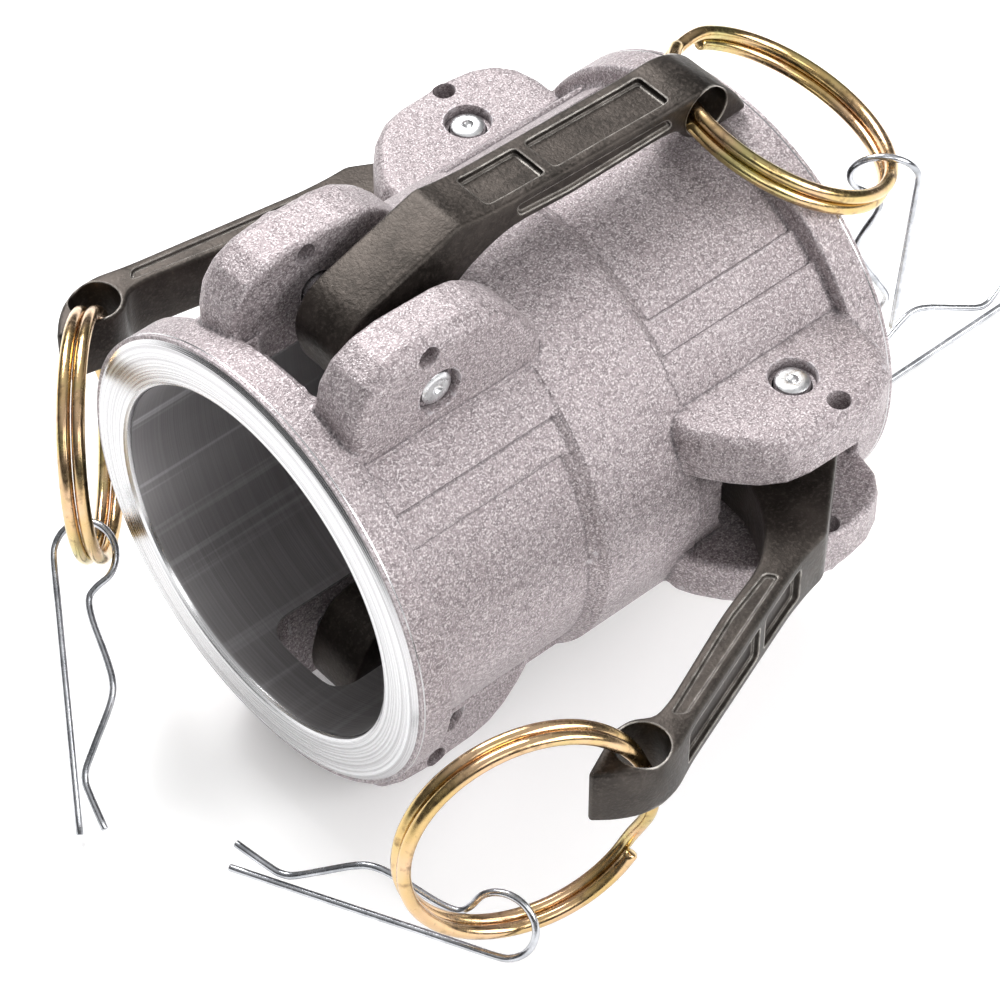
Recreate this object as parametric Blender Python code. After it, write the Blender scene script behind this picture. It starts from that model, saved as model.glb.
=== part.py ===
"""Double-female cam-and-groove coupling with four cam arms, pull rings and R-clips.

X runs along the bore from the near mouth to the far mouth, Z is up.
The near socket's arms are above and below, the far socket's arms are at the sides.
Lengths in the constants are millimetres, angles are degrees.
"""

import math

import bmesh
import bpy
from mathutils import Matrix, Vector

MM = 0.001

# ---- body -------------------------------------------------------------------
LENGTH = 102.6
BORE_R = 31.9
RIM_R = 40.7
RIM_WIDTH = 7.5
PANEL_R = 36.6
STEP_R = 37.4
PAD_R = 38.2
MID_R = 38.5
MID_START = 41.6
PANEL_END = 38.8
GROOVE_R = 33.6
GROOVE_START = 41.3
GROOVE_END = 48.3
WATERWAY_R = 25.4
PAD_ANGLE = 43.5
STEP_ANGLE = 53.0
TURN_STEPS = 80

# ---- ears and their holes ---------------------------------------------------
EAR_INNER = 9.7
EAR_OUTER = 19.5
EAR_FOOT = 31.2
EAR_OUTLINE = [
    (6.3, EAR_FOOT), (6.3, 40.2), (7.3, 44.6), (9.8, 47.9), (13.8, 49.9), (18.6, 50.6),
    (29.2, 50.3), (33.4, 49.4), (37.2, 47.0), (40.4, 43.6), (43.2, 39.6), (44.6, 36.6),
    (44.6, EAR_FOOT),
]
SLOT_HALF = 9.35
SLOT_START = 9.3
SLOT_END = 36.2
SLOT_CORNER = 3.6
PIN_X = 23.2
PIN_RADIUS_FROM_AXIS = 39.3
PIN_R = 3.0
EAR_HOLE_R = 3.3
CLIP_HOLE = (21.2, 47.8)
CLIP_HOLE_R = 1.9

# ---- cam arm ----------------------------------------------------------------
ARM_HALF = 5.6
ARM_EDGE = 0.6
ARM_BORE_R = 3.25
HEAD_R = 8.2
ARM_OUTER = [
    (16.6, 13.4), (20.4, 12.5), (26.0, 11.6), (60.0, 9.2), (65.5, 9.3), (69.6, 8.2), (72.8, 5.9),
    (75.2, 2.6), (76.7, -0.5),
]
ARM_INNER = [
    (76.2, -1.1), (66.8, -1.1), (63.8, 0.4), (62.0, 3.5), (58.0, 4.3), (38.6, 4.9), (26.3, 6.3),
    (17.5, 3.2), (11.0, -2.4), (7.6, -8.6), (4.4, -11.6), (0.2, -12.3), (-4.2, -10.6), (-7.2, -5.8),
]
EYE = (67.9, 4.0)
EYE_R = 4.25
EYE_MOUTH_R = 4.75
POCKET = (22.5, 62.0)
POCKET_HALF = 3.4
POCKET_DEPTH = 1.0

# ---- rings and clips --------------------------------------------------------
RING_R = 20.3
RING_WIRE = 1.2
RING_PITCH = 2.5
CLIP_WIRE = 0.65
CLIP_EYE = (46.0, 5.6, 5.6)

# ---- placing ----------------------------------------------------------------
AXIS_HEIGHT = 53.79
SHIFT_X = -73.19
SHIFT_Y = 6.00


def world(a, u, v):
    """Bore distance, height over the axis and distance to the right, as a point in metres."""
    return Vector((a + SHIFT_X, SHIFT_Y - v, u + AXIS_HEIGHT)) * MM


def direction(a, u, v):
    return Vector((a, -v, u)).normalized()


def material(name, colour, metallic, roughness):
    made = bpy.data.materials.new(name)
    made.use_nodes = True
    shader = made.node_tree.nodes["Principled BSDF"]
    shader.inputs["Base Color"].default_value = (*colour, 1.0)
    shader.inputs["Metallic"].default_value = metallic
    shader.inputs["Roughness"].default_value = roughness
    return made


def solid(name, points, faces, slot):
    """A closed mesh object from points in metres, with its faces turned outward."""
    mesh = bpy.data.meshes.new(name)
    mesh.from_pydata([tuple(p) for p in points], [], faces)
    mesh.validate()
    work = bmesh.new()
    work.from_mesh(mesh)
    bmesh.ops.recalc_face_normals(work, faces=work.faces)
    if work.calc_volume(signed=True) < 0:
        bmesh.ops.reverse_faces(work, faces=work.faces)
    work.to_mesh(mesh)
    work.free()
    mesh.materials.append(slot)
    made = bpy.data.objects.new(name, mesh)
    bpy.context.scene.collection.objects.link(made)
    return made


def smooth(made, angle=32.0):
    for face in made.data.polygons:
        face.use_smooth = True
    made.data.set_sharp_from_angle(angle=math.radians(angle))


def turned(name, profile, slot, steps=TURN_STEPS):
    """A closed (x, r) profile turned about the bore axis; points on the axis become poles."""
    points = []
    rows = []
    for x, r in profile:
        if r < 1e-6:
            rows.append([len(points)] * steps)
            points.append(world(x, 0, 0))
            continue
        rows.append(list(range(len(points), len(points) + steps)))
        for k in range(steps):
            turn = 2 * math.pi * k / steps
            points.append(world(x, r * math.cos(turn), r * math.sin(turn)))
    faces = []
    for i in range(len(rows)):
        here, there = rows[i], rows[(i + 1) % len(rows)]
        for k in range(steps):
            m = (k + 1) % steps
            ring = [here[k], here[m], there[m], there[k]]
            ring = [p for j, p in enumerate(ring) if p != ring[j - 1]]
            if len(set(ring)) > 2:
                faces.append(ring)
    return solid(name, points, faces, slot)


def prism(name, loops, slot):
    """A solid skinned over loops of equal length, with a flat face on each end."""
    size = len(loops[0])
    points = [p for loop in loops for p in loop]
    faces = [list(range(size))[::-1], [(len(loops) - 1) * size + k for k in range(size)]]
    for i in range(len(loops) - 1):
        for k in range(size):
            m = (k + 1) % size
            faces.append([i * size + k, i * size + m, (i + 1) * size + m, (i + 1) * size + k])
    return solid(name, points, faces, slot)


def inset(outline, amount):
    """The outline moved inward by the amount, corner by corner along the bisectors."""
    area = sum(p[0] * q[1] - q[0] * p[1] for p, q in zip(outline, outline[1:] + outline[:1]))
    side = 1.0 if area > 0 else -1.0
    moved = []
    for i in range(len(outline)):
        before = Vector(outline[i]) - Vector(outline[i - 1])
        after = Vector(outline[(i + 1) % len(outline)]) - Vector(outline[i])
        n1 = Vector((-before.y, before.x)).normalized() * side
        n2 = Vector((-after.y, after.x)).normalized() * side
        middle = (n1 + n2).normalized()
        reach = amount / max(0.5, middle.dot(n1))
        moved.append((outline[i][0] + middle.x * reach, outline[i][1] + middle.y * reach))
    return moved


def drum(name, place, radii, slot, steps=24):
    """Circles of (distance, radius) along local Y of the placing matrix, closed at both ends."""
    loops = []
    for y, r in radii:
        loop = []
        for k in range(steps):
            turn = 2 * math.pi * k / steps
            loop.append(place @ (Vector((r * math.cos(turn), y, r * math.sin(turn))) * MM))
        loops.append(loop)
    return prism(name, loops, slot)


def combine(base, tool, operation):
    """Joins or cuts the tool and removes it, leaving the base as one plain mesh."""
    step = base.modifiers.new("step", "BOOLEAN")
    step.operation = operation
    step.solver = "EXACT"
    step.object = tool
    graph = bpy.context.evaluated_depsgraph_get()
    made = bpy.data.meshes.new_from_object(base.evaluated_get(graph))
    base.modifiers.clear()
    old = base.data
    base.data = made
    bpy.data.meshes.remove(old)
    bpy.data.objects.remove(tool)


def wire(name, path, radius, slot, sides=8):
    """A round wire along a path in metres, with flat cut ends."""
    loops = []
    across = None
    for i, point in enumerate(path):
        ahead = path[min(i + 1, len(path) - 1)] - point
        behind = point - path[max(i - 1, 0)]
        along = (ahead.normalized() + behind.normalized()).normalized()
        if across is None:
            across = along.orthogonal()
        across = (across - along * across.dot(along)).normalized()
        other = along.cross(across)
        loop = []
        for k in range(sides):
            turn = 2 * math.pi * (k + 0.5) / sides
            loop.append(point + (across * math.cos(turn) + other * math.sin(turn)) * radius * MM)
        loops.append(loop)
    made = prism(name, loops, slot)
    smooth(made, 50.0)
    return made


# ---- the four stations ------------------------------------------------------
class Station:
    """One arm's place: which socket, which side, and how far the arm is open."""

    def __init__(self, name, far, out, opening):
        self.name = name
        self.far = far
        self.out = direction(*out)
        self.along = direction(-1 if far else 1, 0, 0)
        self.side = self.out.cross(self.along)
        self.mouth = world(LENGTH if far else 0.0, 0, 0)
        self.opening = math.radians(opening)

    def fixed(self):
        """Local X runs from the mouth along the barrel, Z outward, origin at the mouth centre."""
        turn = Matrix((self.along, self.side, self.out)).transposed().to_4x4()
        return Matrix.Translation(self.mouth) @ turn

    def pivot(self):
        return self.fixed() @ (Vector((PIN_X, 0, PIN_RADIUS_FROM_AXIS)) * MM)

    def arm(self):
        turn = self.fixed().to_3x3().to_4x4() @ Matrix.Rotation(-self.opening, 4, "Y")
        return Matrix.Translation(self.pivot()) @ turn


STATIONS = [
    Station("top", False, (0, 1, 0), 2.2),
    Station("bottom", False, (0, -1, 0), 2.2),
    Station("right", True, (0, 0, 1), 24.0),
    Station("left", True, (0, 0, -1), 13.0),
]

# Ring attitude in its arm: swing from the arm's line, droop to the side, twist about its radius,
# and how far it is pulled out of the eye's middle.
RINGS = {
    "top": (-34.5, 22.5, 10.9, -0.7),
    "bottom": (2.5, 0.0, 0.0, 0.0),
    "right": (-41.8, -17.3, 4.3, 0.0),
    "left": (-61.5, 21.5, 4.0, 0.0),
}

# Clip: angle round the ring from the eye, direction from the ring to the tips, side of the bent
# leg, and where the ring crosses the clip's eye, from the eye's centre along and across.
CLIPS = {
    "top": (160.0, (0.14, -0.975, -0.175), (-0.70, 0.03, -0.71), (1.9, -0.4)),
    "bottom": (180.0, (1.0, 0.0, 0.0), (0.0, 0.7, -0.7), (1.4, 0.0)),
    "right": (233.5, (-0.43, -0.03, -0.90), (0.36, 0.91, -0.20), (-2.1, -0.9)),
    "left": (152.5, (-0.44, -0.605, 0.66), (0.645, 0.30, 0.70), (-0.6, 2.1)),
}


def body_profile():
    near = [
        (0.0, RIM_R - 0.6), (0.6, RIM_R), (RIM_WIDTH - 0.4, RIM_R), (RIM_WIDTH, RIM_R - 0.5),
        (RIM_WIDTH + 0.4, PANEL_R + 0.3), (RIM_WIDTH + 0.9, PANEL_R),
        (PANEL_END, PANEL_R), (MID_START, MID_R),
    ]
    far = [(LENGTH - x, r) for x, r in reversed(near)]
    return [(0.0, 0.0)] + near + far + [(LENGTH, 0.0)]


def bore_profile():
    near = [
        (-2.0, BORE_R + 2.8), (0.8, BORE_R), (GROOVE_START, BORE_R),
        (GROOVE_START, GROOVE_R), (GROOVE_END, GROOVE_R), (GROOVE_END, WATERWAY_R),
    ]
    far = [(LENGTH - x, r) for x, r in reversed(near)]
    return [(-2.0, 0.0)] + near + far + [(LENGTH + 2.0, 0.0)]


def sector(name, place, half_angle, radius, foot, start, end, slot):
    """A raised patch of the barrel, symmetric about the station's outward direction."""
    outline = []
    for k in range(15):
        turn = math.radians(-half_angle + 2 * half_angle * k / 14)
        outline.append((radius * math.sin(turn), radius * math.cos(turn)))
    for k in range(9):
        turn = math.radians(half_angle - 2 * half_angle * k / 8)
        outline.append((foot * math.sin(turn), foot * math.cos(turn)))
    loops = [[place @ (Vector((x, y, z)) * MM) for y, z in outline] for x in (start, end)]
    return prism(name, loops, slot)


def ear(name, place, side, slot):
    """One lug of the pair, its outer edge rounded and its foot buried in the barrel."""
    rounding = [(EAR_INNER, 0.6), (EAR_INNER + 0.6, 0.0), (EAR_OUTER - 2.4, 0.0),
                (EAR_OUTER - 0.9, 0.65), (EAR_OUTER - 0.2, 1.5), (EAR_OUTER, 2.4)]
    loops = []
    for y, amount in rounding:
        loop = []
        for (x, r), (_, kept) in zip(inset(EAR_OUTLINE, amount), EAR_OUTLINE):
            loop.append(place @ (Vector((x, side * y, EAR_FOOT if kept == EAR_FOOT else r)) * MM))
        loops.append(loop)
    lug = prism(name, loops, slot)
    high = Vector((CLIP_HOLE[0], side * (EAR_INNER + EAR_OUTER) / 2, CLIP_HOLE[1])) * MM
    hole = [(-8.0, CLIP_HOLE_R), (8.0, CLIP_HOLE_R)]
    combine(lug, drum("hole", place @ Matrix.Translation(high), hole, slot, 12), "DIFFERENCE")
    return lug


def slot_cutter(name, place, slot):
    outline = []
    corners = [(SLOT_END, SLOT_HALF, 0), (SLOT_START, SLOT_HALF, 90),
               (SLOT_START, -SLOT_HALF, 180), (SLOT_END, -SLOT_HALF, 270)]
    for x, y, begin in corners:
        cx = x - math.copysign(SLOT_CORNER, x - PIN_X)
        cy = y - math.copysign(SLOT_CORNER, y)
        for k in range(5):
            turn = math.radians(begin + 90 * k / 4)
            outline.append((cx + SLOT_CORNER * math.cos(turn), cy + SLOT_CORNER * math.sin(turn)))
    loops = [[place @ (Vector((x, y, z)) * MM) for x, y in outline] for z in (22.0, 60.0)]
    return prism(name, loops, slot)


def make_body(slot):
    body = turned("coupling_body", body_profile(), slot)
    for station in STATIONS:
        place = station.fixed()
        patch = sector("patch", place, STEP_ANGLE, STEP_R, 33.0, 5.0, MID_START + 2.0, slot)
        combine(body, patch, "UNION")
        patch = sector("patch", place, PAD_ANGLE, PAD_R, 33.4, 5.6, MID_START + 2.6, slot)
        combine(body, patch, "UNION")
        for side in (-1, 1):
            combine(body, ear("ear", place, side, slot), "UNION")
    combine(body, turned("bore", bore_profile(), slot), "DIFFERENCE")
    for station in STATIONS:
        place = station.fixed()
        combine(body, slot_cutter("slot", place, slot), "DIFFERENCE")
        pin_place = place @ Matrix.Translation(Vector((PIN_X, 0, PIN_RADIUS_FROM_AXIS)) * MM)
        hole = [(-22.0, EAR_HOLE_R), (22.0, EAR_HOLE_R)]
        combine(body, drum("hole", pin_place, hole, slot), "DIFFERENCE")
    smooth(body)
    return body


def arm_outline():
    head = []
    for k in range(6):
        turn = math.radians(190 - 78 * k / 5)
        head.append((HEAD_R * math.cos(turn), HEAD_R * math.sin(turn)))
    return (ARM_INNER + head + ARM_OUTER)[::-1]


def make_arm(station, slot):
    outline = arm_outline()
    level = Matrix.Identity(4)
    layers = [(-ARM_HALF, ARM_EDGE), (-ARM_HALF + ARM_EDGE, 0.0),
              (ARM_HALF - ARM_EDGE, 0.0), (ARM_HALF, ARM_EDGE)]
    loops = []
    for y, amount in layers:
        loops.append([Vector((x, y, z)) * MM for x, z in inset(outline, amount)])
    arm = prism("arm_" + station.name, loops, slot)
    bore = [(-ARM_HALF - 1, ARM_BORE_R), (ARM_HALF + 1, ARM_BORE_R)]
    combine(arm, drum("bore", level, bore, slot), "DIFFERENCE")
    eye = level @ Matrix.Translation(Vector((EYE[0], 0, EYE[1])) * MM)
    flare = [(-ARM_HALF - 1, EYE_MOUTH_R + 0.4), (-ARM_HALF, EYE_MOUTH_R), (-2.5, EYE_R),
             (2.5, EYE_R), (ARM_HALF, EYE_MOUTH_R), (ARM_HALF + 1, EYE_MOUTH_R + 0.4)]
    combine(arm, drum("eye", eye, flare, slot, 20), "DIFFERENCE")
    x0, x1 = POCKET
    z0 = 11.9 - POCKET_DEPTH
    z1 = 9.1 - POCKET_DEPTH
    box = [(x0, z0), (x0, 20.0), (x1, 20.0), (x1, z1)]
    loops = [[Vector((x, y, z)) * MM for x, z in box] for y in (-POCKET_HALF, POCKET_HALF)]
    combine(arm, prism("pocket", loops, slot), "DIFFERENCE")
    smooth(arm, 28.0)
    arm.matrix_world = station.arm()
    return arm


def make_pin(station, slot):
    reach = EAR_OUTER - 0.5
    layers = [(-reach, PIN_R - 0.5), (-reach + 0.5, PIN_R), (reach - 0.5, PIN_R), (reach, PIN_R - 0.5)]
    pin = drum("pin_" + station.name, Matrix.Identity(4), layers, slot)
    pin.matrix_world = Matrix.Translation(station.pivot()) @ station.fixed().to_3x3().to_4x4()
    smooth(pin)
    return pin


def ring_frame(station):
    """Centre, radius vector from the eye, tangent at the eye and normal of the pull ring."""
    swing, droop, twist = [math.radians(angle) for angle in RINGS[station.name][:3]]
    slack = RINGS[station.name][3]
    place = station.arm()
    turn = place.to_3x3()
    along = turn @ Vector((1, 0, 0))
    out = turn @ Vector((0, 0, 1))
    across = along.cross(out)
    level = along * math.cos(swing) + out * math.sin(swing)
    radius = level * math.cos(droop) + across * math.sin(droop)
    tangent = across * math.cos(droop) - level * math.sin(droop)
    normal = radius.cross(tangent)
    tangent = tangent * math.cos(twist) + normal * math.sin(twist)
    normal = radius.cross(tangent)
    eye = place @ (Vector((EYE[0], 0, EYE[1])) * MM)
    centre = eye + radius * (RING_R - 0.4 + slack) * MM
    return centre, radius, tangent, normal


def ring_point(station, angle):
    """A point of the ring's centre circle, the direction round it and the direction outward."""
    centre, radius, tangent, _ = ring_frame(station)
    turn = math.radians(angle)
    outward = tangent * math.sin(turn) - radius * math.cos(turn)
    round_it = tangent * math.cos(turn) + radius * math.sin(turn)
    return centre + outward * RING_R * MM, round_it, outward


def make_ring(station, start, slot):
    centre, radius, tangent, normal = ring_frame(station)
    path = []
    steps = 69
    for k in range(steps + 1):
        swept = 690.0 * k / steps
        lift = -0.5 + min(max((swept - 330.0) / 30.0, 0.0), 1.0)
        turn = math.radians(start + swept)
        outward = tangent * math.sin(turn) - radius * math.cos(turn)
        path.append(centre + (outward * RING_R + normal * lift * RING_PITCH) * MM)
    ring = wire("ring_" + station.name, path, RING_WIRE, slot, 6)
    return ring


def clip_outline():
    """The R-clip in its own plane: tips at 0, eye at the far end, straight leg on the axis."""
    eye_x, eye_y, eye_r = CLIP_EYE
    path = [(0.0, 0.0), (14.0, 0.0), (28.0, 0.0), (41.5, 0.0)]
    for k in range(10):
        turn = math.radians(-90 + 225 * k / 9)
        path.append((eye_x + eye_r * math.cos(turn), eye_y + eye_r * math.sin(turn)))
    path += [(40.4, 7.0), (38.6, 5.6), (35.0, 5.9), (29.0, 7.6), (24.5, 8.4), (21.0, 7.6),
             (15.0, 4.4), (11.0, 2.3), (9.0, 1.9), (7.0, 2.3), (0.5, 4.6)]
    return path


def make_clip(station, slot):
    angle, toward, bent, seat = CLIPS[station.name]
    anchor, round_it, _ = ring_point(station, angle)
    along = -direction(*toward)
    side = direction(*bent)
    side = (side - along * side.dot(along)).normalized()
    origin = anchor - (along * (CLIP_EYE[0] + seat[0]) + side * (CLIP_EYE[1] + seat[1])) * MM
    path = [origin + (along * s + side * h) * MM for s, h in clip_outline()]
    return wire("clip_" + station.name, path, CLIP_WIRE, slot, 6)


def make_gasket(name, far, slot):
    near = [(GROOVE_START + 0.3, 27.0), (GROOVE_START + 0.9, WATERWAY_R + 0.6),
            (GROOVE_START + 2.2, WATERWAY_R), (GROOVE_END - 0.3, WATERWAY_R),
            (GROOVE_END - 0.3, GROOVE_R - 0.3), (GROOVE_START + 0.3, GROOVE_R - 0.3)]
    profile = [(LENGTH - x, r) for x, r in near] if far else near
    gasket = turned(name, profile, slot, 48)
    smooth(gasket)
    return gasket


def main():
    for old in list(bpy.data.objects):
        bpy.data.objects.remove(old)
    cast = material("cast_aluminium", (0.45, 0.41, 0.45), 0.6, 0.5)
    dark = material("arm_metal", (0.11, 0.10, 0.09), 0.8, 0.42)
    steel = material("pin_steel", (0.55, 0.55, 0.56), 1.0, 0.3)
    gold = material("ring_zinc", (0.72, 0.55, 0.22), 1.0, 0.28)
    bright = material("clip_zinc", (0.75, 0.76, 0.78), 1.0, 0.25)
    rubber = material("gasket_rubber", (0.03, 0.03, 0.03), 0.0, 0.7)
    make_body(cast)
    for station, start in zip(STATIONS, (205.0, 40.0, 100.0, 60.0)):
        make_arm(station, dark)
        make_pin(station, steel)
        make_ring(station, start, gold)
        make_clip(station, bright)
    make_gasket("gasket_near", False, rubber)
    make_gasket("gasket_far", True, rubber)


main()
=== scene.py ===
"""Looks of the double-female cam-and-groove coupling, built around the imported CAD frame.

Every piece is drawn where its CAD node is. Lengths are millimetres unless a name says otherwise,
and angles are degrees. a runs along the bore from the near mouth, u is up and v is to the right.
"""

import math

import bmesh
import bpy
from mathutils import Matrix, Vector

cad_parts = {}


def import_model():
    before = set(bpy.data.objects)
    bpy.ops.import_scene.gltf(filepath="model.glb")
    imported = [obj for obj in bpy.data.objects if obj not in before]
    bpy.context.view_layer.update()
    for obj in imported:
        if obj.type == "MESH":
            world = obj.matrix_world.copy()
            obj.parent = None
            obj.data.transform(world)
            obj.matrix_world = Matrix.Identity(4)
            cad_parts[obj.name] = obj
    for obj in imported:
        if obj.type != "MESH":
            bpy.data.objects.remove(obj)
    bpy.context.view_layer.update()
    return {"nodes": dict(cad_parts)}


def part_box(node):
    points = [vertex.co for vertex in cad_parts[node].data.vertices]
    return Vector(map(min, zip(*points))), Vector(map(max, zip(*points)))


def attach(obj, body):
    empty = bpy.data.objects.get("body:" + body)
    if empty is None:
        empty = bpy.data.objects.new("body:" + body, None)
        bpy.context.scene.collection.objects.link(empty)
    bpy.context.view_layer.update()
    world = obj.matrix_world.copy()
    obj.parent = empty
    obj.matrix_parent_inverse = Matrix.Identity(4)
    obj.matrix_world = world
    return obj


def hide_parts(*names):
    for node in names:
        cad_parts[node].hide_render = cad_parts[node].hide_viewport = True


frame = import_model()

MM = 0.001
LOW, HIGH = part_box("coupling_body")
MOUTH = Vector((LOW.x, (LOW.y + HIGH.y) / 2, (LOW.z + HIGH.z) / 2))
LENGTH = (HIGH.x - LOW.x) / MM

# ---- body -------------------------------------------------------------------
# Distances along the bore start at each socket's own mouth. The slot is where an arm reaches
# through the wall, the ears stand on both sides of it, and BARREL_RADII are the turned steps.
BORE_R = 31.9
RIM_R = 40.7
FACE_R = 39.3
GROOVE_START = 41.3
GROOVE_END = 48.3
GROOVE_R = 33.6
WATERWAY_R = 25.4
BARREL_RADII = (36.6, 37.4, 38.2, 38.5, 40.7)
SLOT_HALF = 9.35
SLOT_START = 9.3
SLOT_END = 36.2
SLOT_CORNER = 4.32
SLOT_HEIGHTS = (20, 60)
EAR_INNER = 9.7
EAR_OUTER = 19.5
PLUG_INSET = 0.02
PIN_X = 23.2
PIN_RADIUS_FROM_AXIS = 39.3
PIN_R = 3.0
PIN_SUNK = 0.5

# A hole through the ears: where it is (distance from the mouth, distance from the axis), and its
# steps as (depth below the ear's outer face, radius).
PIN_HOLE = (PIN_X, PIN_RADIUS_FROM_AXIS)
PIN_SINK = [(2.0, 3.3), (1.9, 3.95), (0.25, 3.95), (0.0, 4.15), (-1.0, 4.15)]
CLIP_HOLE = (21.2, 47.8)
CLIP_SINK = [(1.0, 1.9), (0.2, 1.9), (0.0, 2.05), (-1.0, 2.05)]
EAR_HOLES = [(PIN_HOLE, 3.3), (CLIP_HOLE, 1.9)]
PLUG_SPARE = 0.15

# Melting the casting's edges round: the grid it is rebuilt on, how hard it is relaxed, and how near
# a melted point has to be to a turned radius to be put back on it.
VOXEL = 0.42
RELAX_STEPS = 3
RADIUS_REACH = 0.16
BORE_SKIN = 0.30
BORE_REACH = 0.35
FACE_SKIN = 0.75

# ---- cam arm ----------------------------------------------------------------
# The arm's own frame has the pin at the origin, X toward the tip and Z outward. Its outline is two
# runs of (x, z, corner radius), outer and inner, joined round the head. The eye's profile is
# (distance from mid-thickness, radius), and the channel runs along the arm's side faces.
ARM_HALF = 5.6
ARM_EDGE = 0.7
ARM_BORE_R = 3.15
HEAD_R = 8.2
ARM_OUTER = [
    (16.6, 13.4, 1.0), (20.4, 12.5, 2.0), (26.0, 11.6, 3.0), (60.0, 9.2, 3.0), (65.5, 9.3, 2.5),
    (69.6, 8.2, 1.2), (72.8, 5.9, 2.0), (75.2, 2.6, 2.0), (76.7, -0.5, 0.7),
]
ARM_INNER = [
    (76.2, -1.1, 0.4), (66.8, -1.1, 1.0), (63.8, 0.4, 1.5), (62.0, 3.5, 2.0), (58.0, 4.3, 2.0),
    (38.6, 4.9, 3.0), (26.3, 6.3, 4.0), (17.5, 3.2, 4.0), (11.0, -2.4, 2.0), (7.6, -8.6, 1.6),
    (4.4, -11.6, 1.2), (0.2, -12.3, 1.6), (-4.2, -10.6, 1.6), (-7.2, -5.8, 2.0),
]
EYE = (67.9, 4.0)
EYE_PROFILE = [(0.0, 4.22), (4.5, 4.26), (5.2, 4.34), (5.6, 4.45), (6.6, 4.95)]
POCKET_CELLS = [(23.6, 35.6), (37.4, 61.6)]
POCKET_HALF = 3.7
POCKET_DEPTH = 1.15
CHANNEL = [(28.5, 7.7), (28.0, 9.9), (59.5, 7.7), (60.5, 5.6), (38.6, 6.3)]
CHANNEL_DEPTH = 0.55

# ---- rings and clips --------------------------------------------------------
# A ring is wound over RING_TURN degrees and steps sideways by one pitch from STEP_START on. A
# clip's eye is (x, y, radius) in the clip's own plane, measured from its tips.
RING_R = 20.3
RING_WIRE = 1.15
RING_PITCH = 2.4
RING_INWARD = 0.4
RING_TURN = 690.0
STEP_START = 330.0
STEP_TURN = 30.0
RING_STEPS = 230
CLIP_WIRE = 0.62
CLIP_EYE = (46.0, 5.6, 5.6)


def world(a, u, v):
    return MOUTH + Vector((a, -v, u)) * MM


def direction(a, u, v):
    return Vector((a, -v, u)).normalized()


# ---- mesh helpers -----------------------------------------------------------
def solid(name, points, faces):
    """A closed mesh object from points in metres, with its faces turned outward."""
    mesh = bpy.data.meshes.new(name)
    mesh.from_pydata([tuple(p) for p in points], [], faces)
    work = bmesh.new()
    work.from_mesh(mesh)
    bmesh.ops.recalc_face_normals(work, faces=work.faces)
    if work.calc_volume(signed=True) < 0:
        bmesh.ops.reverse_faces(work, faces=work.faces)
    work.to_mesh(mesh)
    work.free()
    made = bpy.data.objects.new(name, mesh)
    bpy.context.scene.collection.objects.link(made)
    return made


def prism(name, loops):
    """A solid skinned over loops of equal length, closed at both ends."""
    size = len(loops[0])
    points = [p for loop in loops for p in loop]
    faces = [list(range(size))[::-1], [(len(loops) - 1) * size + k for k in range(size)]]
    for i in range(len(loops) - 1):
        for k in range(size):
            m = (k + 1) % size
            faces.append([i * size + k, i * size + m, (i + 1) * size + m, (i + 1) * size + k])
    return solid(name, points, faces)


def turned(name, profile, steps=160):
    """A closed (a, r) profile with r above zero, turned about the bore axis."""
    points = []
    faces = []
    for a, r in profile:
        for k in range(steps):
            turn = 2 * math.pi * k / steps
            points.append(world(a, r * math.cos(turn), r * math.sin(turn)))
    rows = len(profile)
    for i in range(rows):
        for k in range(steps):
            j, m = (i + 1) % rows, (k + 1) % steps
            faces.append([i * steps + k, i * steps + m, j * steps + m, j * steps + k])
    return solid(name, points, faces)


def drum(name, place, radii, steps=40):
    """Circles of (distance, radius) along local Y of the placing matrix."""
    loops = []
    for y, r in radii:
        loop = []
        for k in range(steps):
            turn = 2 * math.pi * k / steps
            loop.append(place @ (Vector((r * math.cos(turn), y, r * math.sin(turn))) * MM))
        loops.append(loop)
    return prism(name, loops)


def combine(base, tool, operation, solver="EXACT"):
    """Joins or cuts the tool and removes it, leaving the base as one plain mesh."""
    step = base.modifiers.new("step", "BOOLEAN")
    step.operation = operation
    step.solver = solver
    step.object = tool
    apply_modifiers(base)
    bpy.data.objects.remove(tool)


def apply_modifiers(made):
    graph = bpy.context.evaluated_depsgraph_get()
    mesh = bpy.data.meshes.new_from_object(made.evaluated_get(graph))
    made.modifiers.clear()
    old = made.data
    made.data = mesh
    bpy.data.meshes.remove(old)


def smooth(made, angle=30.0):
    for face in made.data.polygons:
        face.use_smooth = True
    made.data.set_sharp_from_angle(angle=math.radians(angle))


def filleted(corners, steps=4):
    """A closed outline of (x, y, radius) corners with every corner rounded."""
    outline = []
    count = len(corners)
    for i, (x, y, r) in enumerate(corners):
        here = Vector((x, y))
        back = Vector(corners[i - 1][:2]) - here
        ahead = Vector(corners[(i + 1) % count][:2]) - here
        reach = min(r, 0.45 * back.length, 0.45 * ahead.length)
        p, q = here + back.normalized() * reach, here + ahead.normalized() * reach
        for k in range(steps + 1):
            t = k / steps
            outline.append(tuple(p * (1 - t) ** 2 + here * 2 * t * (1 - t) + q * t * t))
    return outline


def inset(outline, amount):
    """The outline moved inward by the amount, corner by corner along the bisectors."""
    area = sum(p[0] * q[1] - q[0] * p[1] for p, q in zip(outline, outline[1:] + outline[:1]))
    side = 1.0 if area > 0 else -1.0
    moved = []
    for i, point in enumerate(outline):
        before = Vector(point) - Vector(outline[i - 1])
        after = Vector(outline[(i + 1) % len(outline)]) - Vector(point)
        n1 = Vector((-before.y, before.x)).normalized() * side
        n2 = Vector((-after.y, after.x)).normalized() * side
        middle = (n1 + n2).normalized()
        reach = amount / max(0.5, middle.dot(n1))
        moved.append((point[0] + middle.x * reach, point[1] + middle.y * reach))
    return moved


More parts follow.
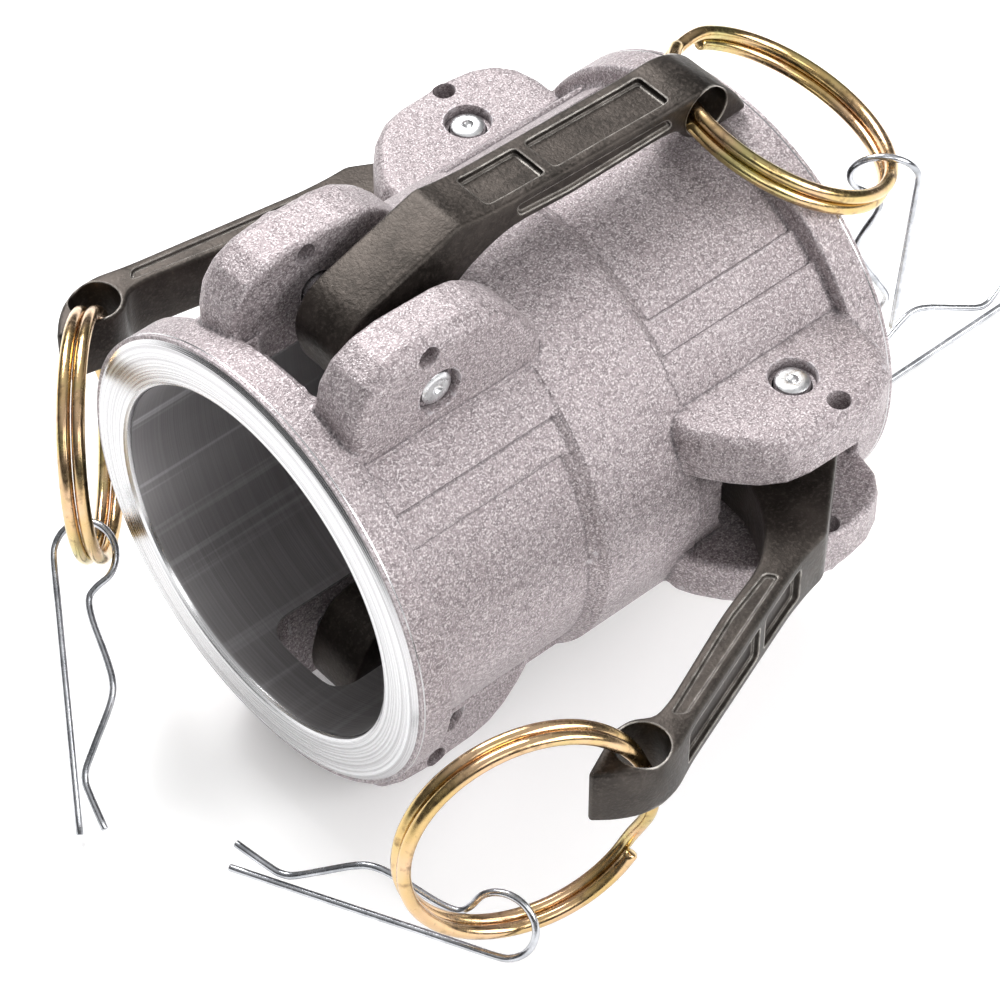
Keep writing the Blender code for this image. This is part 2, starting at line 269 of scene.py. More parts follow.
def wire(name, path, radius, sides=14):
    """A round wire along a path in metres, with slightly rounded cut ends."""
    loops = []
    across = None
    last = len(path) - 1
    for i, point in enumerate(path):
        along = (path[min(i + 1, last)] - path[max(i - 1, 0)]).normalized()
        if across is None:
            across = along.orthogonal()
        across = (across - along * across.dot(along)).normalized()
        other = along.cross(across)
        for size, shift in end_steps(i, last):
            loop = []
            for k in range(sides):
                turn = 2 * math.pi * k / sides
                spoke = across * math.cos(turn) + other * math.sin(turn)
                loop.append(point + (spoke * size + along * shift) * radius * MM)
            loops.append(loop)
    made = prism(name, loops)
    smooth(made, 60.0)
    return made


def end_steps(i, last):
    """The loops at path point i: three of them where the wire ends, to round its cut edge."""
    if i == 0:
        return [(0.55, 0.0), (0.85, 0.08), (1.0, 0.3)]
    if i == last:
        return [(1.0, -0.3), (0.85, -0.08), (0.55, 0.0)]
    return [(1.0, 0.0)]


def flowing(points, per=8):
    """A smooth path through the points (Catmull-Rom), with more points in between."""
    path = []
    ends = [points[0] * 2 - points[1]] + points + [points[-1] * 2 - points[-2]]
    for i in range(1, len(ends) - 2):
        p0, p1, p2, p3 = ends[i - 1:i + 3]
        for k in range(per):
            t = k / per
            bend = (p1 * 2 + (p2 - p0) * t + (p0 * 2 - p1 * 5 + p2 * 4 - p3) * t * t
                    + (p1 * 3 - p0 - p2 * 3 + p3) * t ** 3) / 2
            path.append(bend)
    path.append(points[-1])
    return path


# ---- stations ---------------------------------------------------------------
class Station:
    """One arm's place: which socket, which side, and how far the arm is open."""

    def __init__(self, name, far, out, opening):
        self.name = name
        self.out = direction(*out)
        self.along = direction(-1 if far else 1, 0, 0)
        self.side = self.out.cross(self.along)
        self.mouth = world(LENGTH if far else 0.0, 0, 0)
        self.opening = math.radians(opening)

    def fixed(self):
        """Local X runs from the mouth along the barrel, Z outward, origin at the mouth centre."""
        turn = Matrix((self.along, self.side, self.out)).transposed().to_4x4()
        return Matrix.Translation(self.mouth) @ turn

    def pivot(self):
        return self.fixed() @ (Vector((PIN_X, 0, PIN_RADIUS_FROM_AXIS)) * MM)

    def arm(self):
        turn = self.fixed().to_3x3().to_4x4() @ Matrix.Rotation(-self.opening, 4, "Y")
        return Matrix.Translation(self.pivot()) @ turn


STATIONS = [
    Station("top", False, (0, 1, 0), 2.2),
    Station("bottom", False, (0, -1, 0), 2.2),
    Station("right", True, (0, 0, 1), 24.0),
    Station("left", True, (0, 0, -1), 13.0),
]

# Ring attitude in its arm: swing from the arm's line, droop to the side, twist about its radius,
# how far it is pulled out of the eye's middle, where its wire starts and which way it steps over.
RINGS = {
    "top": (-34.5, 22.5, 10.9, -0.7, 324.0, 1),
    "bottom": (2.5, 0.0, 0.0, 0.0, 40.0, 1),
    "right": (-41.8, -17.3, 4.3, 0.0, 339.0, -1),
    "left": (-61.5, 21.5, 4.0, 0.0, 60.0, 1),
}

# Clip: angle round the ring from the eye, direction from the ring to the tips, side of the bent
# leg, and where the ring crosses the clip's eye, from the eye's centre along and across.
CLIPS = {
    "top": (160.0, (0.14, -0.975, -0.175), (-0.70, 0.03, -0.71), (1.9, -0.4)),
    "bottom": (180.0, (1.0, 0.0, 0.0), (0.0, 0.7, -0.7), (1.4, 0.0)),
    "right": (233.5, (-0.43, -0.03, -0.90), (0.36, 0.91, -0.20), (-2.1, -0.9)),
    "left": (152.5, (-0.44, -0.605, 0.66), (0.645, 0.30, 0.70), (-0.6, 2.1)),
}


# ---- materials --------------------------------------------------------------
class Look:
    """A material under construction: a Principled shader and short calls that add nodes."""

    def __init__(self, name, metallic, roughness):
        self.material = bpy.data.materials.new(name)
        self.material.use_nodes = True
        self.tree = self.material.node_tree
        self.shader = self.tree.nodes["Principled BSDF"]
        self.shader.inputs["Metallic"].default_value = metallic
        self.shader.inputs["Roughness"].default_value = roughness
        self.place = self.tree.nodes.new("ShaderNodeTexCoord").outputs["Object"]

    def set(self, socket, value):
        """Sets a socket to a number, a colour or another node's output."""
        if hasattr(value, "links"):
            self.tree.links.new(value, socket)
        elif isinstance(value, tuple) and len(value) == 3 and socket.type == "RGBA":
            socket.default_value = (*value, 1.0)
        else:
            socket.default_value = value

    def noise(self, scale, detail=4.0, roughness=0.55, place=None):
        node = self.tree.nodes.new("ShaderNodeTexNoise")
        node.inputs["Scale"].default_value = scale
        node.inputs["Detail"].default_value = detail
        node.inputs["Roughness"].default_value = roughness
        self.tree.links.new(place or self.place, node.inputs["Vector"])
        return node.outputs["Fac"]

    def ramp(self, value, low, high, start=0.0, end=1.0):
        node = self.tree.nodes.new("ShaderNodeMapRange")
        node.inputs["From Min"].default_value = low
        node.inputs["From Max"].default_value = high
        node.inputs["To Min"].default_value = start
        node.inputs["To Max"].default_value = end
        self.tree.links.new(value, node.inputs["Value"])
        return node.outputs["Result"]

    def mix(self, share, first, second):
        node = self.tree.nodes.new("ShaderNodeMix")
        node.data_type = "RGBA"
        self.set(node.inputs["Factor"], share)
        self.set(node.inputs[6], first)
        self.set(node.inputs[7], second)
        return node.outputs[2]

    def math(self, kind, first, second=0.0):
        node = self.tree.nodes.new("ShaderNodeMath")
        node.operation = kind
        self.set(node.inputs[0], first)
        self.set(node.inputs[1], second)
        return node.outputs["Value"]

    def stretched(self, along, across):
        """Object coordinates scaled apart, for painted reflection streaks and haze that run along the
        bore axis.
        """
        node = self.tree.nodes.new("ShaderNodeMapping")
        node.inputs["Scale"].default_value = (along, across, across)
        self.tree.links.new(self.place, node.inputs["Vector"])
        return node.outputs["Vector"]

    def spread(self, value, scale, across):
        """One value stretched far along X, with the place faintly mixed in across it."""
        node = self.tree.nodes.new("ShaderNodeCombineXYZ")
        self.set(node.inputs["X"], self.math("MULTIPLY", value, scale))
        self.set(node.inputs["Y"], self.noise(across, 1.0))
        return node.outputs["Vector"]

    def level(self, value):
        """A number as a grey, so that mix can blend it."""
        node = self.tree.nodes.new("ShaderNodeCombineXYZ")
        for axis in range(3):
            self.set(node.inputs[axis], value)
        return node.outputs["Vector"]

    def axis_parts(self):
        """(a, r): distance from the near mouth and from the bore axis, in metres."""
        shift = self.tree.nodes.new("ShaderNodeVectorMath")
        shift.operation = "SUBTRACT"
        self.tree.links.new(self.place, shift.inputs[0])
        shift.inputs[1].default_value = tuple(MOUTH)
        split = self.tree.nodes.new("ShaderNodeSeparateXYZ")
        self.tree.links.new(shift.outputs[0], split.inputs[0])
        y2 = self.math("POWER", split.outputs["Y"], 2.0)
        z2 = self.math("POWER", split.outputs["Z"], 2.0)
        return split.outputs["X"], self.math("SQRT", self.math("ADD", y2, z2))

    def height(self):
        """Height above the bore axis, in metres."""
        split = self.tree.nodes.new("ShaderNodeSeparateXYZ")
        self.tree.links.new(self.place, split.inputs[0])
        return self.math("SUBTRACT", split.outputs["Z"], MOUTH.z)

    def edges(self, low=0.5, high=0.6):
        """0 to 1 from flat to convex, read from the mesh's own curvature."""
        point = self.tree.nodes.new("ShaderNodeNewGeometry").outputs["Pointiness"]
        return self.ramp(point, low, high)

    def bump(self, height, strength, distance, below=None):
        node = self.tree.nodes.new("ShaderNodeBump")
        node.inputs["Strength"].default_value = strength
        node.inputs["Distance"].default_value = distance
        self.tree.links.new(height, node.inputs["Height"])
        if below is not None:
            self.tree.links.new(below, node.inputs["Normal"])
        return node.outputs["Normal"]

    def rounded_edges(self, radius):
        node = self.tree.nodes.new("ShaderNodeBevel")
        node.samples = 4
        node.inputs["Radius"].default_value = radius
        return node.outputs["Normal"]

    def corners(self, rounded):
        """0 to 1 from flat to edge, from how far rounding turns the true normal."""
        true = self.tree.nodes.new("ShaderNodeNewGeometry").outputs["Normal"]
        node = self.tree.nodes.new("ShaderNodeVectorMath")
        node.operation = "DOT_PRODUCT"
        self.tree.links.new(rounded, node.inputs[0])
        self.tree.links.new(true, node.inputs[1])
        return self.ramp(node.outputs["Value"], 0.99, 0.86)

    def done(self, colour=None, roughness=None, normal=None):
        if colour is not None:
            self.set(self.shader.inputs["Base Color"], colour)
        if roughness is not None:
            self.set(self.shader.inputs["Roughness"], roughness)
        if normal is not None:
            self.set(self.shader.inputs["Normal"], normal)
        return self.material


def cast_look():
    """Blasted aluminium casting: lilac grey, fine grain, darker speckle, edges lightened partly as
    wear and partly as painted highlight, and painted shade in the creases.
    """
    look = Look("cast_aluminium_look", 0.4, 0.5)
    blotch = look.noise(95.0, 5.0, 0.6)
    grain = look.noise(1250.0, 3.0, 0.7)
    fine = look.noise(3100.0, 2.0, 0.6)
    base = look.mix(look.ramp(blotch, 0.35, 0.68), (0.345, 0.292, 0.302), (0.415, 0.362, 0.372))
    speckle = look.ramp(grain, 0.36, 0.64)
    dark = look.math("MULTIPLY", look.math("SUBTRACT", 1.0, speckle), 0.80)
    base = look.mix(dark, base, (0.125, 0.102, 0.108))
    light = look.ramp(fine, 0.50, 0.66)
    base = look.mix(look.math("MULTIPLY", light, 0.72), base, (0.76, 0.70, 0.71))
    # Convex edges are lightened, partly as wear and partly as painted highlight.
    base = look.mix(look.math("MULTIPLY", look.edges(0.52, 0.60), 0.55), base, (0.58, 0.55, 0.575))
    # Painted shade: concave creases and the feet of steps are darkened.
    crease_shade = look.edges(0.492, 0.448)
    base = look.mix(look.math("MULTIPLY", crease_shade, 0.8), base, (0.085, 0.075, 0.082))
    rough = look.ramp(grain, 0.3, 0.7, 0.42, 0.62)
    wide = look.bump(blotch, 0.25, 0.0006)
    normal = look.bump(fine, 0.5, 0.0002, look.bump(grain, 0.6, 0.0003, wide))
    return look.done(base, rough, normal)


def machined_look():
    """Turned aluminium: fine tool rings on the mouth faces, and a bore wall painted darker as shade,
    with painted reflection streaks along it and painted shade toward its bottom.
    """
    look = Look("machined_aluminium_look", 0.9, 0.25)
    a, r = look.axis_parts()
    travel = look.math("ADD", a, r)
    tool = look.math("SINE", look.math("MULTIPLY", travel, 2 * math.pi / 0.00042))
    bands = look.noise(1.0, 4.0, 0.7, look.spread(travel, 2400.0, 14.0))
    deep = look.ramp(look.math("MINIMUM", a, look.math("SUBTRACT", LENGTH * MM, a)), 0.0009, 0.0013)
    inner = look.ramp(r, 0.0318, 0.0324, 1.0, 0.0)
    wall = look.math("MULTIPLY", deep, inner)
    face = look.mix(look.ramp(bands, 0.36, 0.64), (0.38, 0.37, 0.38), (0.74, 0.74, 0.75))
    # Painted reflection: pale streaks drawn out along the bore axis stand for reflected light.
    reflection_streak = look.noise(1.0, 3.0, 0.6, look.stretched(5.0, 330.0))
    haze = look.noise(1.0, 2.0, 0.5, look.stretched(14.0, 60.0))
    # Painted shade: the bore wall's grey is set darker than the mouth face, as if in shadow.
    bore = look.mix(look.ramp(haze, 0.30, 0.70), (0.27, 0.254, 0.262), (0.42, 0.400, 0.408))
    bore = look.mix(look.ramp(reflection_streak, 0.55, 0.70), bore, (0.72, 0.71, 0.73))
    # Painted shade: the lower part of the bore wall is darkened.
    low_bore_shade = look.math("MULTIPLY", look.ramp(look.height(), -0.010, -0.025), 0.72)
    bore = look.mix(low_bore_shade, bore, (0.10, 0.092, 0.092))
    rough = look.mix(wall, look.level(look.ramp(bands, 0.3, 0.7, 0.20, 0.32)), look.level(0.50))
    look.set(look.shader.inputs["Metallic"], look.ramp(wall, 0.0, 1.0, 1.0, 0.40))
    normal = look.bump(tool, 0.12, 0.00005)
    return look.done(look.mix(wall, face, bore), rough, normal)


def arm_look():
    """Dark gunmetal bronze-coloured casting, its edges lightened partly as polish from handling and
    partly as painted highlight.
    """
    look = Look("arm_metal_look", 0.8, 0.42)
    cloud = look.noise(130.0, 5.0, 0.6)
    grain = look.noise(1500.0, 3.0, 0.65)
    rounded = look.rounded_edges(0.0005)
    base = look.mix(look.ramp(cloud, 0.36, 0.66), (0.022, 0.018, 0.015), (0.054, 0.045, 0.039))
    pale = look.math("MULTIPLY", look.ramp(grain, 0.50, 0.70), 0.5)
    base = look.mix(pale, base, (0.105, 0.088, 0.078))
    # Edges lightened in patches: partly wear, partly painted highlight.
    patchy = look.ramp(look.noise(420.0, 3.0), 0.30, 0.60, 0.25, 0.9)
    base = look.mix(look.math("MULTIPLY", look.corners(rounded), patchy), base, (0.70, 0.66, 0.61))
    rough = look.ramp(grain, 0.3, 0.7, 0.36, 0.54)
    return look.done(base, rough, look.bump(grain, 0.45, 0.0002, rounded))


def ring_look():
    """Yellow zinc plated spring steel: gold with rosy and green patches and brown dirt."""
    look = Look("ring_zinc_look", 1.0, 0.2)
    tint = look.noise(110.0, 3.0, 0.5)
    base = look.mix(look.ramp(tint, 0.38, 0.62), (0.57, 0.40, 0.17), (0.63, 0.43, 0.26))
    base = look.mix(look.ramp(look.noise(60.0), 0.52, 0.66), base, (0.50, 0.43, 0.19))
    dirt = look.ramp(look.noise(520.0, 4.0), 0.56, 0.74)
    base = look.mix(look.math("MULTIPLY", dirt, 0.75), base, (0.18, 0.11, 0.06))
    rough = look.ramp(look.noise(900.0), 0.3, 0.7, 0.14, 0.30)
    return look.done(base, rough, look.bump(look.noise(700.0, 3.0), 0.12, 0.0001))


def bright_look(name, light, dark, roughness):
    """Bright steel: clip wire and pin ends, faintly uneven, with grey patches."""
    look = Look(name, 1.0, roughness)
    patch = look.ramp(look.noise(240.0, 4.0), 0.38, 0.66)
    rough = look.ramp(look.noise(1100.0), 0.3, 0.7, roughness * 0.7, roughness * 1.4)
    normal = look.bump(look.noise(1500.0, 3.0), 0.15, 0.00008)
    return look.done(look.mix(patch, light, dark), rough, normal)


def rubber_look():
    look = Look("gasket_rubber_look", 0.0, 0.6)
    base = look.mix(look.noise(300.0, 4.0), (0.018, 0.018, 0.019), (0.045, 0.043, 0.042))
    rough = look.ramp(look.noise(900.0), 0.3, 0.7, 0.5, 0.75)
    return look.done(base, rough, look.bump(look.noise(1600.0), 0.3, 0.0001))


# ---- pieces -----------------------------------------------------------------
def dress(made, look, body, slot, *nodes):
    made.data.materials.clear()
    made.data.materials.append(look)
    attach(made, body)
    if nodes:
        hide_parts(*nodes)
    return made


def axial(point):
    """(a, r) of a point of the body, in millimetres."""
    x = (point.x - MOUTH.x) / MM
    return x, math.hypot(point.y - MOUTH.y, point.z - MOUTH.z) / MM


def set_radius(point, r):
    away = Vector((0.0, point.y - MOUTH.y, point.z - MOUTH.z)).normalized()
    point.y = MOUTH.y + away.y * r * MM
    point.z = MOUTH.z + away.z * r * MM


def cast_shell(look):
    """The casting: the CAD body with its edges and inner corners melted round."""
    shell = bpy.data.objects.new("cast_shell", frame["nodes"]["coupling_body"].data.copy())
    bpy.context.scene.collection.objects.link(shell)
    for station in STATIONS:
        for spot, radius in EAR_HOLES:
            for side in (-1, 1):
                combine(shell, ear_plug(station, spot, side, radius + PLUG_SPARE), "UNION")
    melt = shell.modifiers.new("melt", "REMESH")
    melt.mode = "VOXEL"
    melt.voxel_size = VOXEL * MM * 1.0
    melt.use_smooth_shade = True
    relax = shell.modifiers.new("relax", "SMOOTH")
    relax.factor = 0.5
    relax.iterations = RELAX_STEPS
    apply_modifiers(shell)
    for vertex in shell.data.vertices:
        a, r = axial(vertex.co)
        depth = min(a, LENGTH - a)
        for radius in BARREL_RADII:
            if abs(r - radius) < RADIUS_REACH:
                set_radius(vertex.co, radius)
        if depth < GROOVE_START and r < BORE_R + BORE_REACH:
            set_radius(vertex.co, BORE_R + BORE_SKIN)
        if depth < FACE_SKIN:
            vertex.co.x = MOUTH.x + (FACE_SKIN if a < LENGTH / 2 else LENGTH - FACE_SKIN) * MM
    for station in STATIONS:
        combine(shell, hole_cutter(station, PIN_HOLE, PIN_SINK), "DIFFERENCE", "MANIFOLD")
        combine(shell, hole_cutter(station, CLIP_HOLE, CLIP_SINK), "DIFFERENCE", "MANIFOLD")
        combine(shell, slot_cutter(station), "DIFFERENCE", "MANIFOLD")
    smooth(shell, 40.0)
    return dress(shell, look, "body", "cast_aluminium", "coupling_body")


def slot_cutter(station):
    corners = [(SLOT_END, SLOT_HALF), (SLOT_START, SLOT_HALF), (SLOT_START, -SLOT_HALF),
               (SLOT_END, -SLOT_HALF)]
    outline = filleted([(x, y, SLOT_CORNER) for x, y in corners], 6)
    place = station.fixed()
    loops = [[place @ (Vector((x, y, z)) * MM) for x, y in outline] for z in SLOT_HEIGHTS]
    return prism("cut", loops)


def ear_place(station, spot):
    x, z = spot
    return station.fixed() @ Matrix.Translation(Vector((x, 0, z)) * MM)


def ear_plug(station, spot, side, radius):
    """Closes a hole of the CAD ear, so that a sharper one can be cut after the melting."""
    ends = sorted((side * (EAR_INNER + PLUG_INSET), side * (EAR_OUTER - PLUG_INSET)))
    return drum("plug", ear_place(station, spot), [(y, radius) for y in ends], 32)


def hole_cutter(station, spot, sink):
    """Through both ears of a station, along the (depth, radius) steps below their outer faces."""
    end = [(EAR_OUTER - depth, radius) for depth, radius in sink]
    both = [(-y, radius) for y, radius in reversed(end)] + end
    return drum("cut", ear_place(station, spot), both, 48)


def machined_sleeve(far, look):
    """The turned mouth face, its outer chamfer and the bore wall as far as the gasket groove."""
    near = [(GROOVE_START, BORE_R), (12.0, BORE_R), (1.0, BORE_R), (0.35, BORE_R + 0.3),
            (0.0, BORE_R + 0.85), (0.0, FACE_R - 0.3), (0.12, FACE_R), (0.35, FACE_R + 0.3),
            (1.35, RIM_R + 0.02), (1.6, RIM_R + 0.02), (1.6, RIM_R - 0.5), (0.95, FACE_R - 0.6),
            (0.95, BORE_R + 1.4), (2.4, BORE_R + 0.42), (GROOVE_START, BORE_R + 0.42)]
    profile = [(LENGTH - a, r) for a, r in near] if far else near
    sleeve = turned("machined_far" if far else "machined_near", profile, 192)
    for station in STATIONS:
        if (station.along.x < 0) == far:
            combine(sleeve, slot_cutter(station), "DIFFERENCE")
    smooth(sleeve, 25.0)
    return dress(sleeve, look, "body", "cast_aluminium")


def layers(half, edge, steps=4):
    """(y, inset) pairs across a thickness whose two rims are rounded by the edge radius."""
    rounding = []
    for k in range(steps + 1):
        turn = math.pi / 2 * k / steps
        rounding.append((half - edge + edge * math.sin(turn), edge * (1 - math.cos(turn))))
    return [(-y, amount) for y, amount in reversed(rounding)] + rounding


def arm_outline():
    head = []
    for k in range(6):
        turn = math.radians(190 - 78 * k / 5)
        head.append((HEAD_R * math.cos(turn), HEAD_R * math.sin(turn), 2.0))
    return filleted((ARM_INNER + head + ARM_OUTER)[::-1], 3)


def pocket_cutter(start, end):
    """One cell of the recess in the arm's outer face, with drafted walls."""
    (x1, z1, _), (x2, z2, _) = ARM_OUTER[2:4]
    rise = (z2 - z1) / (x2 - x1)
    corners = [(start, -POCKET_HALF, 1.0), (end, -POCKET_HALF, 1.0), (end, POCKET_HALF, 1.0),
               (start, POCKET_HALF, 1.0)]
    outline = filleted(corners, 4)
    loops = []
    for depth, amount in ((-POCKET_DEPTH, 0.45), (-POCKET_DEPTH + 0.25, 0.2), (0.0, 0.0), (2.5, -0.5)):
        loop = []
        for x, y in inset(outline, amount):
            loop.append(Vector((x, y, z1 + (x - x1) * rise + depth)) * MM)
        loops.append(loop)
    return prism("cut", loops)


def channel_cutter(side):
    outline = filleted([(x, z, 0.9) for x, z in CHANNEL], 4)
    loops = []
    for y, amount in ((ARM_HALF - CHANNEL_DEPTH, 0.35), (ARM_HALF - CHANNEL_DEPTH + 0.2, 0.1),
                      (ARM_HALF + 1.0, -0.5)):
        loops.append([Vector((x, side * y, z)) * MM for x, z in inset(outline, amount)])
    return prism("cut", loops)


def cam_arm(station, look):
    outline = arm_outline()
    loops = []
    for y, amount in layers(ARM_HALF, ARM_EDGE):
        loops.append([Vector((x, y, z)) * MM for x, z in inset(outline, amount)])
    arm = prism("cam_arm_" + station.name, loops)
    bore = [(-ARM_HALF - 1, ARM_BORE_R + 1), (-ARM_HALF + 0.4, ARM_BORE_R),
            (ARM_HALF - 0.4, ARM_BORE_R), (ARM_HALF + 1, ARM_BORE_R + 1)]
    combine(arm, drum("cut", Matrix.Identity(4), bore), "DIFFERENCE")
    eye = [(-y, r) for y, r in reversed(EYE_PROFILE)] + EYE_PROFILE[1:]
    place = Matrix.Translation(Vector((EYE[0], 0, EYE[1])) * MM)
    combine(arm, drum("cut", place, eye), "DIFFERENCE")
    for start, end in POCKET_CELLS:
        combine(arm, pocket_cutter(start, end), "DIFFERENCE")
    for side in (-1, 1):
        combine(arm, channel_cutter(side), "DIFFERENCE")
    arm.data.transform(station.arm())
    smooth(arm, 28.0)
    return dress(arm, look, "arm_" + station.name, "arm_metal", "arm_" + station.name)


def pivot_pin(station, look):
    """A plain pin whose two ends are spun over into a shallow dome with a centre mark."""
    reach = EAR_OUTER - PIN_SUNK
    end = [(reach - 0.9, PIN_R), (reach - 0.35, PIN_R - 0.12), (reach - 0.08, PIN_R - 0.5),
           (reach, PIN_R - 1.1), (reach - 0.05, 1.0), (reach - 0.45, 0.75), (reach - 0.7, 0.2)]
    radii = [(-y, r) for y, r in reversed(end)] + end
    place = Matrix.Translation(station.pivot()) @ station.fixed().to_3x3().to_4x4()
    pin = drum("pivot_pin_" + station.name, place, radii, 32)
    smooth(pin, 35.0)
    return dress(pin, look, "body", "pin_steel", "pin_" + station.name)


def ring_frame(station):
    """Centre, radius vector from the eye, tangent at the eye and normal of the pull ring."""
    swing, droop, twist = [math.radians(angle) for angle in RINGS[station.name][:3]]
    slack = RINGS[station.name][3]
    place = station.arm()
    turn = place.to_3x3()
    along = turn @ Vector((1, 0, 0))
    out = turn @ Vector((0, 0, 1))
    across = along.cross(out)
    level = along * math.cos(swing) + out * math.sin(swing)
    radius = level * math.cos(droop) + across * math.sin(droop)
    tangent = across * math.cos(droop) - level * math.sin(droop)
    normal = radius.cross(tangent)
    tangent = tangent * math.cos(twist) + normal * math.sin(twist)
    normal = radius.cross(tangent)
    eye = place @ (Vector((EYE[0], 0, EYE[1])) * MM)
    return eye + radius * (RING_R - RING_INWARD + slack) * MM, radius, tangent, normal


def pull_ring(station, look):
    """A split ring: almost two turns of wire that step over each other once."""
    centre, radius, tangent, normal = ring_frame(station)
    start, step_side = RINGS[station.name][4:]
    path = []
    for k in range(RING_STEPS + 1):
        swept = RING_TURN * k / RING_STEPS
        share = min(max((swept - STEP_START) / STEP_TURN, 0.0), 1.0)
        lift = step_side * (share * share * (3 - 2 * share) - 0.5)
        turn = math.radians(start + swept)
        outward = tangent * math.sin(turn) - radius * math.cos(turn)
        path.append(centre + (outward * RING_R + normal * lift * RING_PITCH) * MM)
    ring = wire("pull_ring_" + station.name, path, RING_WIRE, 14)
    return dress(ring, look, "ring_" + station.name, "ring_zinc", "ring_" + station.name)


def clip_outline():
    """The R-clip in its own plane: tips at 0, eye at the far end, straight leg on the axis."""
    eye_x, eye_y, eye_r = CLIP_EYE
    path = [(0.03, 0.0), (14.0, 0.0), (28.0, 0.0), (39.0, 0.0)]
    for k in range(10):
        turn = math.radians(-90 + 225 * k / 9)
        path.append((eye_x + eye_r * math.cos(turn), eye_y + eye_r * math.sin(turn)))
    path += [(40.4, 7.0), (38.6, 5.6), (35.0, 5.9), (29.0, 7.6), (24.5, 8.4), (21.0, 7.6),
             (15.0, 4.4), (11.0, 2.3), (9.0, 1.9), (7.0, 2.3), (0.5, 4.6)]
    return [Vector((x, y)) for x, y in path]


def r_clip(station, look):
    angle, toward, bent, seat = CLIPS[station.name]
    centre, radius, tangent, _ = ring_frame(station)
    turn = math.radians(angle)
    anchor = centre + (tangent * math.sin(turn) - radius * math.cos(turn)) * RING_R * MM
    along = -direction(*toward)
    side = direction(*bent)
    side = (side - along * side.dot(along)).normalized()
    origin = anchor - (along * (CLIP_EYE[0] + seat[0]) + side * (CLIP_EYE[1] + seat[1])) * MM
    path = [origin + (along * p.x + side * p.y) * MM for p in flowing(clip_outline(), 4)]
    clip = wire("r_clip_" + station.name, path, CLIP_WIRE, 12)
    return dress(clip, look, "clip_" + station.name, "clip_zinc", "clip_" + station.name)


def gasket(far, look):
    """Moulded seal with a rounded lip that stands into the socket."""
    near = [(GROOVE_START + 0.3, 27.4), (GROOVE_START + 0.45, 26.4), (GROOVE_START + 1.1, 25.7),
            (GROOVE_START + 2.2, WATERWAY_R), (GROOVE_END - 1.2, WATERWAY_R),
            (GROOVE_END - 0.5, WATERWAY_R + 0.2), (GROOVE_END - 0.3, WATERWAY_R + 0.9),
            (GROOVE_END - 0.3, GROOVE_R - 0.8), (GROOVE_END - 0.8, GROOVE_R - 0.3),
            (GROOVE_START + 0.8, GROOVE_R - 0.3), (GROOVE_START + 0.3, GROOVE_R - 0.8)]
    profile = [(LENGTH - a, r) for a, r in near] if far else near
    name = "gasket_far" if far else "gasket_near"
    seal = turned("seal_far" if far else "seal_near", profile, 96)
    smooth(seal, 40.0)
    return dress(seal, look, "body", "gasket_rubber", name)


# ---- camera, light and floor ------------------------------------------------
# The camera's place is (a, u, v) in millimetres; its right and up are directions in the frame.
CAMERA_PLACE = (-253.0, 491.0, 348.6)
CAMERA_RIGHT = (0.753, -0.658, 0.001)
CAMERA_UP = (0.488, 0.560, 0.670)
LENS = 148.56
SENSOR = 36.0

# Soft boxes: name, place in metres from the coupling's middle, size in metres, power in watts.
LIGHTS = [
    ("key", (0.16, 0.60, 0.76), (0.5, 0.5), 13.0),
    ("fill", (0.35, -0.80, 0.55), (0.8, 0.5), 8.5),
    ("front", (-0.40, -0.75, 0.75), (0.4, 0.4), 1.5),
]

# The surroundings by height: a dark horizon, which the metal shows in its sides, and a pale sky.
SKY_LOW = (0.05, 0.05, 0.055, 1.0)
SKY_HIGH = (0.75, 0.75, 0.75, 1.0)
SKY_TOP = 0.95
SKY_LEVELS = [(0.3, 0.09), (0.6, 0.35)]

FLOOR_HALF = 3.0
FLOOR_CELLS = 12
FLOOR_HEIGHT = -0.0002
FLOOR_GLOW = 0.22


def make_camera():
    lens = bpy.data.cameras.new("camera")
    lens.lens = LENS
    lens.sensor_width = SENSOR
    lens.clip_start = 0.02
    lens.clip_end = 20.0
    camera = bpy.data.objects.new("camera", lens)
    right = Vector(CAMERA_RIGHT)
    back = right.cross(Vector(CAMERA_UP)).normalized()
    up = back.cross(right).normalized()
    turn = Matrix((right.normalized(), up, back)).transposed().to_4x4()
    camera.matrix_world = Matrix.Translation(world(*CAMERA_PLACE)) @ turn
    bpy.context.scene.collection.objects.link(camera)
    bpy.context.scene.camera = camera


def soft_box(name, place, target, size, power):
    light = bpy.data.lights.new(name, "AREA")
    light.shape = "RECTANGLE"
    light.size, light.size_y = size
    light.energy = power
    made = bpy.data.objects.new(name, light)
    made.location = place
    made.rotation_mode = "QUATERNION"
    made.rotation_quaternion = (target - place).to_track_quat("-Z", "Y")
    bpy.context.scene.collection.objects.link(made)


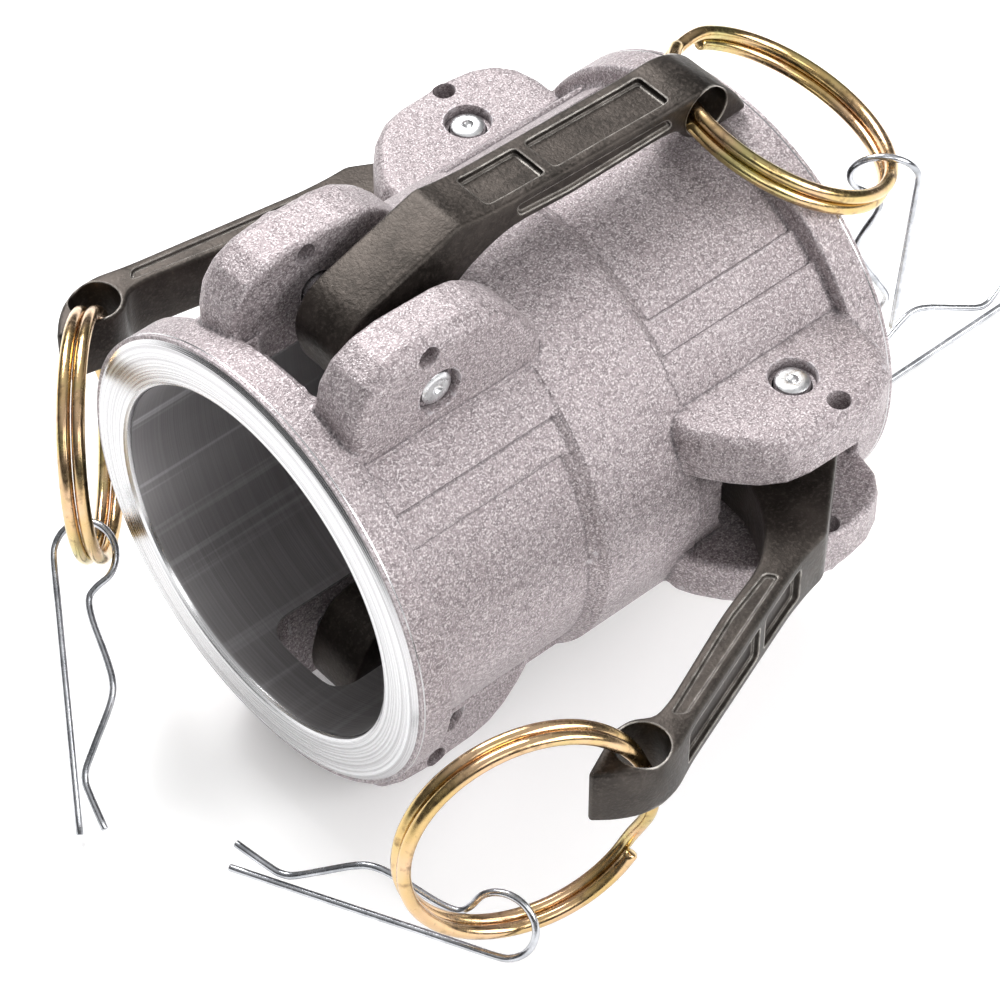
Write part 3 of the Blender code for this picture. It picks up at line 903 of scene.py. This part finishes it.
def make_studio():
    world_look = bpy.data.worlds.new("studio")
    world_look.use_nodes = True
    nodes = world_look.node_tree.nodes
    links = world_look.node_tree.links
    shade = nodes["Background"]
    shade.inputs["Strength"].default_value = 1.0
    place = nodes.new("ShaderNodeTexCoord").outputs["Generated"]
    split = nodes.new("ShaderNodeSeparateXYZ")
    links.new(place, split.inputs[0])
    ramp = nodes.new("ShaderNodeValToRGB")
    stops = ramp.color_ramp.elements
    stops[0].position = 0.0
    stops[0].color = SKY_LOW
    stops[1].position = SKY_TOP
    stops[1].color = SKY_HIGH
    for height, level in SKY_LEVELS:
        stops.new(height).color = (level, level, level, 1.0)
    links.new(split.outputs["Z"], ramp.inputs["Fac"])
    links.new(ramp.outputs["Color"], shade.inputs["Color"])
    bpy.context.scene.world = world_look
    centre = world(LENGTH / 2, 0, 0)
    for name, offset, size, power in LIGHTS:
        soft_box(name, centre + Vector(offset), centre, size, power)


def make_floor():
    """A wide pale sheet that glows faintly, like a light table, to keep shadows soft."""
    points = []
    faces = []
    row = FLOOR_CELLS + 1
    for i in range(row):
        for j in range(row):
            x, y = [-FLOOR_HALF + 2 * FLOOR_HALF * k / FLOOR_CELLS for k in (i, j)]
            points.append((x, y, FLOOR_HEIGHT))
    for i in range(FLOOR_CELLS):
        for j in range(FLOOR_CELLS):
            k = i * row + j
            faces.append((k, k + row, k + row + 1, k + 1))
    mesh = bpy.data.meshes.new("studio_floor")
    mesh.from_pydata(points, [], faces)
    floor = bpy.data.objects.new("studio_floor", mesh)
    bpy.context.scene.collection.objects.link(floor)
    look = Look("floor_look", 0.0, 0.7)
    paper = look.mix(look.noise(30.0), (0.93, 0.93, 0.93), (0.95, 0.95, 0.95))
    look.set(look.shader.inputs["Emission Color"], (1.0, 1.0, 1.0))
    look.set(look.shader.inputs["Emission Strength"], FLOOR_GLOW)
    floor.data.materials.append(look.done(paper))


def main():
    cast = cast_look()
    machined = machined_look()
    arm_metal = arm_look()
    gold = ring_look()
    clip_steel = bright_look("clip_zinc_look", (0.56, 0.57, 0.60), (0.30, 0.31, 0.33), 0.22)
    pin_steel = bright_look("pin_steel_look", (0.70, 0.70, 0.71), (0.48, 0.48, 0.49), 0.30)
    rubber = rubber_look()
    cast_shell(cast)
    for far in (False, True):
        machined_sleeve(far, machined)
        gasket(far, rubber)
    for station in STATIONS:
        cam_arm(station, arm_metal)
        pivot_pin(station, pin_steel)
        pull_ring(station, gold)
        r_clip(station, clip_steel)
    make_camera()
    make_studio()
    make_floor()
    bpy.context.scene.view_settings.view_transform = "Standard"


main()
